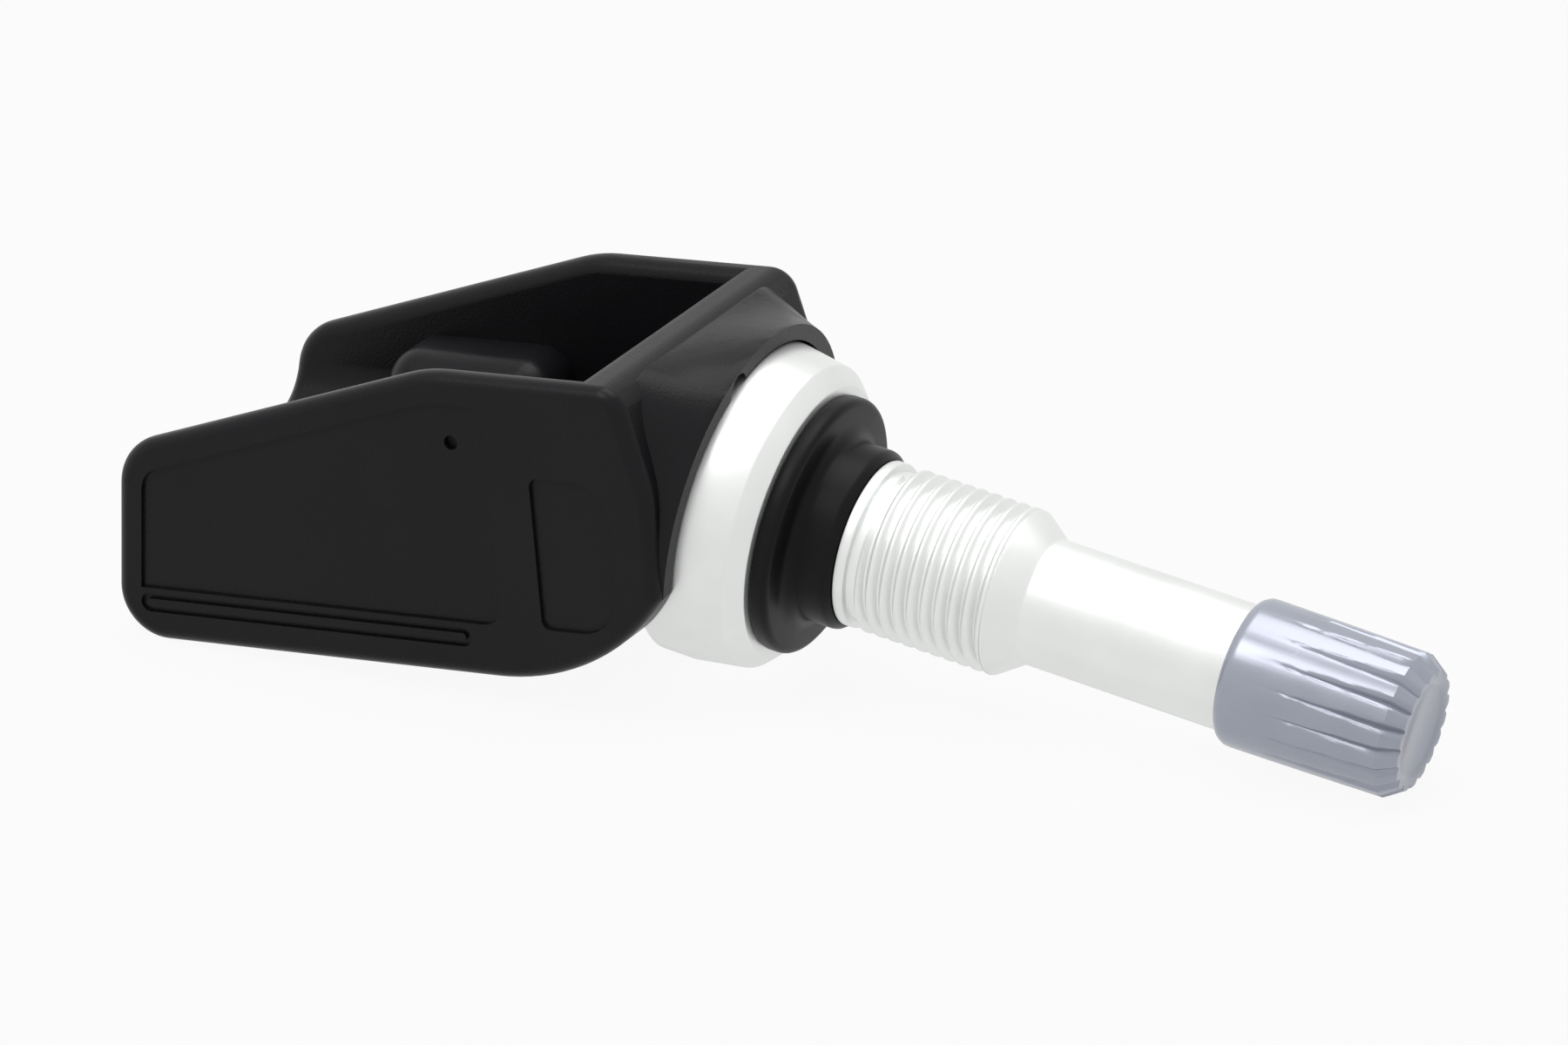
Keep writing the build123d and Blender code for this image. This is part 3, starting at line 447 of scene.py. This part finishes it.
def finishes():
    """Material for each slot of the record."""
    tones = bpy.context.scene.sensor_colours
    steel = tuple(tones.steel)
    made = (
        moulded_plastic("housing_plastic", tones.housing, rough=0.31),
        moulded_plastic("cover_plastic", tones.cover, rough=0.58),
        board_laminate("board_laminate", tuple(tones.board)),
        turned_metal("cell_steel", steel, rough=0.28, on_stem=False),
        turned_metal("tab_nickel", shaded(steel, 0.95), rough=0.34, on_stem=False),
        moulded_plastic("chip_epoxy", tones.epoxy, rough=0.6),
        satin_rubber("inner_rubber", shaded(tones.rubber, 1.4)),
        turned_metal("crystal_can", shaded(steel, 1.15), rough=0.2, on_stem=False),
        tinned_ceramic("capacitor_ceramic", tuple(tones.ceramic), shaded(steel, 1.1)),
        moulded_plastic("coil_ferrite", tones.ferrite, rough=0.7),
        wound_wire("copper_wire", tuple(tones.copper)),
        turned_metal("antenna_metal", shaded(steel, 1.1), rough=0.36, on_stem=False),
        turned_metal("screw_steel", shaded(steel, 0.9), rough=0.3, on_stem=True),
        turned_metal("stem_aluminium", tuple(tones.aluminium), rough=0.36, on_stem=True, metallic=0.8),
        satin_rubber("seal_rubber", tones.rubber),
        turned_metal("core_brass", tuple(tones.brass), rough=0.26, on_stem=True),
        turned_metal("spring_steel", steel, rough=0.25, on_stem=True),
        cap_plastic("cap_plastic", tuple(tones.cap)),
    )
    return {material.name: material for material in made}


def use(piece):
    """Makes a piece the only selected and the active one."""
    bpy.ops.object.select_all(action="DESELECT")
    piece.select_set(True)
    bpy.context.view_layer.objects.active = piece


def pick(piece, wanted):
    """Selects the vertices whose place passes the test, and stays in edit mode."""
    bpy.ops.object.mode_set(mode="EDIT")
    bpy.ops.mesh.select_mode(type="VERT")
    bpy.ops.mesh.select_all(action="DESELECT")
    bpy.ops.object.mode_set(mode="OBJECT")
    for vertex in piece.data.vertices:
        vertex.select = wanted(vertex.co)
    bpy.ops.object.mode_set(mode="EDIT")


def chain(name, points):
    """Draws a line of (station, radius) points in the XZ plane, and stays in edit mode."""
    bpy.ops.object.select_all(action="DESELECT")
    bpy.ops.mesh.primitive_plane_add(size=0.001)
    piece = bpy.context.object
    piece.name = piece.data.name = name
    bpy.ops.object.mode_set(mode="EDIT")
    bpy.ops.mesh.select_mode(type="VERT")
    bpy.ops.mesh.select_all(action="SELECT")
    bpy.ops.mesh.merge(type="CENTER")
    bpy.ops.transform.translate(value=(points[0][0], 0, points[0][1]))
    for before, after in zip(points, points[1:]):
        step = (after[0] - before[0], 0, after[1] - before[1])
        bpy.ops.mesh.extrude_vertices_move(TRANSFORM_OT_translate={"value": step})
    return piece


def edit_all():
    """Enters edit mode with everything selected."""
    bpy.ops.object.mode_set(mode="EDIT")
    bpy.ops.mesh.select_all(action="SELECT")


def close_up():
    """Merges seams and poles, turns the faces outwards and leaves edit mode."""
    bpy.ops.mesh.select_all(action="SELECT")
    bpy.ops.mesh.remove_doubles(threshold=SEAM)
    bpy.ops.mesh.normals_make_consistent(inside=False)
    bpy.ops.object.mode_set(mode="OBJECT")


def lathe(name, points, steps=TURNED_STEPS):
    """Spins a line of (station, radius) points about the X axis."""
    piece = chain(name, points)
    bpy.ops.mesh.select_all(action="SELECT")
    bpy.ops.mesh.spin(steps=steps, angle=2 * pi, center=(0, 0, 0), axis=(1, 0, 0), use_auto_merge=True)
    close_up()
    return piece


def apply_modifier(piece, kind, **settings):
    """Adds a modifier with its settings and applies it."""
    use(piece)
    modifier = piece.modifiers.new(kind.lower(), kind)
    for key, value in settings.items():
        setattr(modifier, key, value)
    bpy.ops.object.modifier_apply(modifier=modifier.name)


def round_edges(piece, width):
    """Rounds the edges that are sharper than the bevel angle."""
    apply_modifier(piece, "BEVEL", width=width, segments=2, limit_method="ANGLE", angle_limit=BEVEL_ANGLE)


def sweep(piece, pitch, turns, steps):
    """Sweeps a closed section along a right-handed helix about the X axis, and closes both ends."""
    apply_modifier(
        piece, "SCREW", axis="X", angle=2 * pi, screw_offset=pitch, iterations=turns,
        steps=steps, render_steps=steps,
    )
    edit_all()
    bpy.ops.mesh.fill_holes(sides=0)
    close_up()


def thread_ridge(name, start, end, pitch, root, crest):
    """Thread ridge about the X axis, with straight flanks down to a foot that lies under the root."""
    foot = root - RIDGE_SINK
    shoulder = crest - CREST_ROUNDING * (crest - root)
    flank = (SHOULDER_SHARE - ROOT_SHARE) / (shoulder - root)
    toe = ROOT_SHARE - flank * RIDGE_SINK
    section = [
        (toe, foot), (SHOULDER_SHARE, shoulder), (CREST_SHARE, crest),
        (1 - CREST_SHARE, crest), (1 - SHOULDER_SHARE, shoulder), (1 - toe, foot), (toe, foot),
    ]
    piece = chain(name, [(start + share * pitch, radius) for share, radius in section])
    bpy.ops.mesh.select_all(action="SELECT")
    bpy.ops.mesh.remove_doubles(threshold=SEAM)
    bpy.ops.object.mode_set(mode="OBJECT")
    sweep(piece, pitch, round((end - start) / pitch), THREAD_STEPS)
    return piece


def trim_to(piece, top):
    """Keeps only what lies under a turned line of (station, radius) points, and cleans the cut edges."""
    start, end = top[0][0], top[-1][0]
    envelope = lathe("envelope", [(start, TRIM_BORE), *top, (end, TRIM_BORE), (start, TRIM_BORE)])
    apply_modifier(piece, "BOOLEAN", operation="INTERSECT", solver="EXACT", object=envelope)
    bpy.data.objects.remove(envelope)
    edit_all()
    bpy.ops.mesh.remove_doubles(threshold=SLIVER)
    bpy.ops.mesh.dissolve_degenerate(threshold=SLIVER)
    bpy.ops.object.mode_set(mode="OBJECT")


def lay_on_stem(piece):
    """Moves a piece drawn along X onto the stem's axis, with its place in its mesh."""
    use(piece)
    piece.rotation_euler = (0, STEM_DIP, 0)
    piece.location = STEM_ORIGIN
    bpy.ops.object.transform_apply(location=True, rotation=True, scale=True)


def hand_over(piece, body, *nodes):
    """Finishes a piece that stands for CAD nodes: shading, material, slot, body and replaced nodes."""
    use(piece)
    bpy.ops.object.shade_smooth_by_angle(angle=bpy.context.scene.sensor_sizes.crisp_angle)
    slot = SLOT_OF[nodes[0]]
    piece.data.materials.clear()
    piece.data.materials.append(bpy.data.materials[slot])
    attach(piece, body)
    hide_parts(*nodes)


def mm(*points):
    """Points given in millimetres."""
    return [(station / 1000, radius / 1000) for station, radius in points]


class SENSOR_OT_finishes(bpy.types.Operator):
    """Makes the finishes and gives each CAD piece its own"""

    bl_idname = "sensor.finishes"
    bl_label = "Finishes"

    def execute(self, context):
        made = finishes()
        for name, node in frame["nodes"].items():
            node.data.materials.clear()
            node.data.materials.append(made[SLOT_OF[name]])
        return {"FINISHED"}


class SENSOR_OT_stem(bpy.types.Operator):
    """Turns the valve stem with its collar, bores and both outer threads"""

    bl_idname = "sensor.stem"
    bl_label = "Valve stem"

    def execute(self, context):
        sizes = context.scene.sensor_sizes
        nut, nut_root = sizes.nut_thread_radius, sizes.nut_thread_root
        fill, fill_root = sizes.fill_thread_radius, sizes.fill_thread_root
        over_nut, over_fill = nut + TRIM_CLEARANCE, fill + TRIM_CLEARANCE
        outline = [
            *mm((-2.8, 0), (-2.8, 2.05), (-7.2, 2.05), (-7.2, 9.4), (-6.6, 10), (-4.5, 10), (-1.35, 9.5)),
            *mm((-0.35, 8.5), (-0.35, 4.5), (3.75, 4.5), (3.75, 5.15), (4.45, 5.15)),
            (NUT_ROOT_START, nut_root),
            (NUT_ROOT_END, nut_root),
            (NUT_THREAD_END, nut),
            (NECK_START, fill),
            (NECK_END, fill),
            (FILL_ROOT_START, fill_root),
            (STEM_TIP, fill_root),
            *mm((37.6, 2.65), (31.9, 2.65), (30.5, 1.95), (19, 1.95), (18.3, 1.25), (0.5, 1.25), (-0.12, 0)),
        ]
        stem = lathe("stem_turning", outline)
        round_edges(stem, sizes.turned_edge)
        nut_ridge = thread_ridge(
            "nut_ridge", NUT_SWEEP_START, NUT_SWEEP_END, sizes.nut_thread_pitch, nut_root, nut
        )
        trim_to(nut_ridge, [
            (NUT_RIDGE_START, nut_root), (NUT_LEAD_IN_END, over_nut), (NUT_RIDGE_END, over_nut),
        ])
        fill_ridge = thread_ridge(
            "fill_ridge", FILL_RIDGE_START, FILL_SWEEP_END, sizes.fill_thread_pitch, fill_root, fill
        )
        trim_to(fill_ridge, [
            (FILL_RIDGE_START, over_fill), (FILL_CHAMFER_START - TRIM_CLEARANCE, over_fill),
            (STEM_TIP, fill - FILL_CHAMFER),
        ])
        use(stem)
        nut_ridge.select_set(True)
        fill_ridge.select_set(True)
        bpy.ops.object.join()
        lay_on_stem(stem)
        hand_over(stem, "sensor_body", "valve_stem")
        return {"FINISHED"}


class SENSOR_OT_seal(bpy.types.Operator):
    """Spins the rubber seal with its flange, hollow neck blend and lip"""

    bl_idname = "sensor.seal"
    bl_label = "Rim seal"

    def execute(self, context):
        outline = mm(
            (-0.35, 4.53), (-0.35, 7.75), (-0.28, 7.92), (-0.12, 8), (0.4, 8), (0.58, 7.96), (0.72, 7.87),
            (0.81, 7.73), (0.85, 7.55), (0.85, 6.55), (0.91, 6.16), (1.08, 5.86), (1.34, 5.67), (1.65, 5.6),
            (3.1, 5.6), (3.3, 5.55), (3.62, 5.3), (3.7, 5.2), (3.7, 4.53), (-0.35, 4.53),
        )
        seal = lathe("seal_moulding", outline)
        lay_on_stem(seal)
        hand_over(seal, "sensor_body", "rim_seal")
        return {"FINISHED"}


class SENSOR_OT_cap(bpy.types.Operator):
    """Spins the cap and presses its grooves in, deeper towards the closed end"""

    bl_idname = "sensor.cap"
    bl_label = "Valve cap"

    def execute(self, context):
        sizes = context.scene.sensor_sizes
        crest = mm(
            (30.9, 4.532), (31.6, 4.525), (32.4, 4.515), (33.2, 4.505), (34, 4.495), (35, 4.48), (36, 4.465),
            (37, 4.45), (37.9, 4.435), (38.7, 4.42), (39.25, 4.045), (39.8, 3.67),
        )
        outline = [
            *mm((39.62, 0), (39.62, 2.6), (39.68, 2.75), (39.8, 2.95)),
            *reversed(crest),
            *mm((29.05, 4.55), (28.72, 4.52), (28.42, 4.36), (28.3, 4.2), (28.3, 4.08)),
            *mm((28.42, 3.955), (38.7, 3.955), (38.7, 0)),
        ]
        steps = GROOVE_STEPS * sizes.cap_grooves
        cap = lathe("cap_moulding", outline, steps)
        groove_start, full_depth = crest[0][0], crest[-3][0]
        for station, radius in crest[1:]:
            share = min(1, (station - groove_start) / (full_depth - groove_start))
            for beside in range(GROOVE_STEPS // 2):
                inset = sizes.cap_groove_depth * share - beside * 2 * pi * radius / steps
                if inset > 0:
                    self.press(cap, station, radius, beside / GROOVE_STEPS, 1 - inset / radius)
        bpy.ops.object.mode_set(mode="OBJECT")
        lay_on_stem(cap)
        hand_over(cap, "cap", "valve_cap")
        return {"FINISHED"}

    def press(self, cap, station, radius, beside, keep):
        """Draws inwards the points of one ring that lie a share of the grooves' pitch beside each groove."""
        grooves = bpy.context.scene.sensor_sizes.cap_grooves

        def beside_groove(place):
            across = degrees(atan2(place.y, place.z)) * grooves / 360 - 0.5
            on_ring = hypot(place.x - station, hypot(place.y, place.z) - radius) < RING_REACH
            return on_ring and abs(abs(across - round(across)) - beside) < GROOVE_REACH

        pick(cap, beside_groove)
        bpy.ops.transform.resize(value=(1, keep, keep), center_override=(station, 0, 0))


class SENSOR_OT_spring(bpy.types.Operator):
    """Winds the core's spring, which shortens as the pin is pressed"""

    bl_idname = "sensor.spring"
    bl_label = "Core spring"

    def execute(self, context):
        sizes = context.scene.sensor_sizes
        rise = SPRING_END - SPRING_START
        bpy.ops.object.select_all(action="DESELECT")
        bpy.ops.mesh.primitive_circle_add(
            vertices=WIRE_STEPS, radius=sizes.spring_wire, rotation=(pi / 2, 0, 0),
            location=(SPRING_START, 0, sizes.spring_radius),
        )
        spring = bpy.context.object
        spring.name = spring.data.name = "spring_coil"
        bpy.ops.object.transform_apply(location=True, rotation=True, scale=True)
        sweep(spring, rise / sizes.spring_turns, sizes.spring_turns, SPRING_STEPS)
        lay_on_stem(spring)
        hand_over(spring, "sensor_body", "core_spring")
        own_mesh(spring)
        return {"FINISHED"}


class SENSOR_OT_housing(bpy.types.Operator):
    """Makes the housing's shell from the CAD housing, merged and smoothly shaded"""

    bl_idname = "sensor.housing"
    bl_label = "Housing"

    def execute(self, context):
        shell = bpy.data.objects.new("housing_shell", frame["nodes"]["housing"].data.copy())
        context.scene.collection.objects.link(shell)
        use(shell)
        edit_all()
        bpy.ops.mesh.remove_doubles(threshold=CAD_SEAM)
        bpy.ops.mesh.dissolve_limited(angle_limit=FLAT_ANGLE)
        bpy.ops.object.mode_set(mode="OBJECT")
        round_edges(shell, context.scene.sensor_sizes.moulded_edge)
        hand_over(shell, "sensor_body", "housing")
        apply_modifier(shell, "WEIGHTED_NORMAL", mode="FACE_AREA", weight=90, keep_sharp=True)
        return {"FINISHED"}


class SENSOR_OT_studio(bpy.types.Operator):
    """Sets up the floor with its backdrop, the soft lamps, the white surroundings and the camera"""

    bl_idname = "sensor.studio"
    bl_label = "Studio"

    def execute(self, context):
        self.lay_floor(context)
        self.light_world(context)
        for lamp in LAMPS:
            self.hang_lamp(*lamp)
        self.set_camera(context)
        context.scene.view_settings.view_transform = "Standard"
        return {"FINISHED"}

    def seen_directly(self, finish):
        """1 for rays from the camera, mirrors and glass, 0 for the light that falls on things."""
        rays = [
            finish.node("ShaderNodeLightPath", output=name)
            for name in ("Is Camera Ray", "Is Glossy Ray", "Is Transmission Ray")
        ]
        return (rays[0] + rays[1] + rays[2]).clamped()

    def lay_floor(self, context):
        """Floor that sweeps up into a backdrop behind the object."""
        size = context.scene.sensor_studio.floor_size
        bpy.ops.object.select_all(action="DESELECT")
        bpy.ops.mesh.primitive_plane_add(size=size)
        floor = bpy.context.object
        floor.name = floor.data.name = "floor"
        pick(floor, lambda place: place.y > 0)
        bpy.ops.mesh.extrude_region_move(TRANSFORM_OT_translate={"value": (0, 0, size / 2)})
        bpy.ops.object.mode_set(mode="OBJECT")
        apply_modifier(floor, "BEVEL", width=size / 5, segments=16, limit_method="ANGLE")
        bpy.ops.object.shade_smooth()
        material, finish = new_finish("floor_paper")
        tone = context.scene.sensor_colours.floor
        speck = finish.noise(finish.place(), scale=900)
        grey = finish.mix(speck, shaded(tone, 0.99), shaded(tone, 1.01))
        paper = finish.node("ShaderNodeBsdfDiffuse", None, {"Color": grey})
        white = finish.node("ShaderNodeEmission", None, {"Color": (1, 1, 1, 1), "Strength": 1.0})
        share = FLOOR_WHITE * self.seen_directly(finish)
        finish.surface(finish.node("ShaderNodeMixShader", None, {0: share, 1: paper, 2: white}))
        floor.data.materials.append(material)

    def light_world(self, context):
        """White surroundings where they are seen, softer light on the object."""
        world = bpy.data.worlds.new("studio_white")
        world.use_nodes = True
        context.scene.world = world
        finish = Finish(world.node_tree)
        strength = AMBIENT_LIGHT + SEEN_LIGHT * self.seen_directly(finish)
        sky = finish.node("ShaderNodeBackground", None, {"Color": (1, 1, 1, 1), "Strength": strength})
        finish.node("ShaderNodeOutputWorld", None, {"Surface": sky})

    def hang_lamp(self, name, place, size, power):
        """Square soft lamp that faces the object."""
        towards = Vector(LAMP_TARGET) - Vector(place)
        bpy.ops.object.light_add(
            type="AREA", location=place, rotation=towards.to_track_quat("-Z", "Y").to_euler()
        )
        lamp = bpy.context.object
        lamp.name = lamp.data.name = name
        lamp.data.size = size
        lamp.data.energy = power

    def set_camera(self, context):
        """Camera at the photograph's viewing angle."""
        studio = context.scene.sensor_studio
        turn = (
            Matrix.Rotation(studio.camera_azimuth, 3, "Z")
            @ Matrix.Rotation(pi / 2 - studio.camera_elevation, 3, "X")
            @ Matrix.Rotation(studio.camera_roll, 3, "Z")
        )
        bpy.ops.object.camera_add(location=studio.camera_place, rotation=turn.to_euler())
        camera = bpy.context.object
        camera.name = camera.data.name = "camera"
        camera.data.sensor_width = SENSOR_WIDTH
        camera.data.lens = studio.camera_lens
        camera.data.clip_start = CLIP_START
        context.scene.camera = camera


class SENSOR_PT_pieces(bpy.types.Panel):
    """Lists the sensor's sizes, colours and pieces"""

    bl_idname = "SENSOR_PT_pieces"
    bl_label = "Tyre pressure sensor"
    bl_space_type = "VIEW_3D"
    bl_region_type = "UI"
    bl_category = "Sensor"

    def draw(self, context):
        for group in (context.scene.sensor_sizes, context.scene.sensor_colours, context.scene.sensor_studio):
            for key in group.__annotations__:
                self.layout.prop(group, key)
        for operator in OPERATORS:
            self.layout.operator(operator.bl_idname)


OPERATORS = (
    SENSOR_OT_finishes,
    SENSOR_OT_housing,
    SENSOR_OT_stem,
    SENSOR_OT_seal,
    SENSOR_OT_cap,
    SENSOR_OT_spring,
    SENSOR_OT_studio,
)
CLASSES = (SensorSizes, SensorColours, StudioSettings, *OPERATORS, SENSOR_PT_pieces)


def register():
    """Adds the classes and their settings to Blender."""
    for added in CLASSES:
        bpy.utils.register_class(added)
    bpy.types.Scene.sensor_sizes = PointerProperty(type=SensorSizes)
    bpy.types.Scene.sensor_colours = PointerProperty(type=SensorColours)
    bpy.types.Scene.sensor_studio = PointerProperty(type=StudioSettings)


def unregister():
    """Takes the classes and their settings out again."""
    del bpy.types.Scene.sensor_studio
    del bpy.types.Scene.sensor_colours
    del bpy.types.Scene.sensor_sizes
    for added in reversed(CLASSES):
        bpy.utils.unregister_class(added)


def main():
    """Builds the whole scene."""
    register()
    bpy.ops.sensor.finishes()
    bpy.ops.sensor.housing()
    bpy.ops.sensor.stem()
    bpy.ops.sensor.seal()
    bpy.ops.sensor.cap()
    bpy.ops.sensor.spring()
    bpy.ops.sensor.studio()


if __name__ == "__main__":
    main()
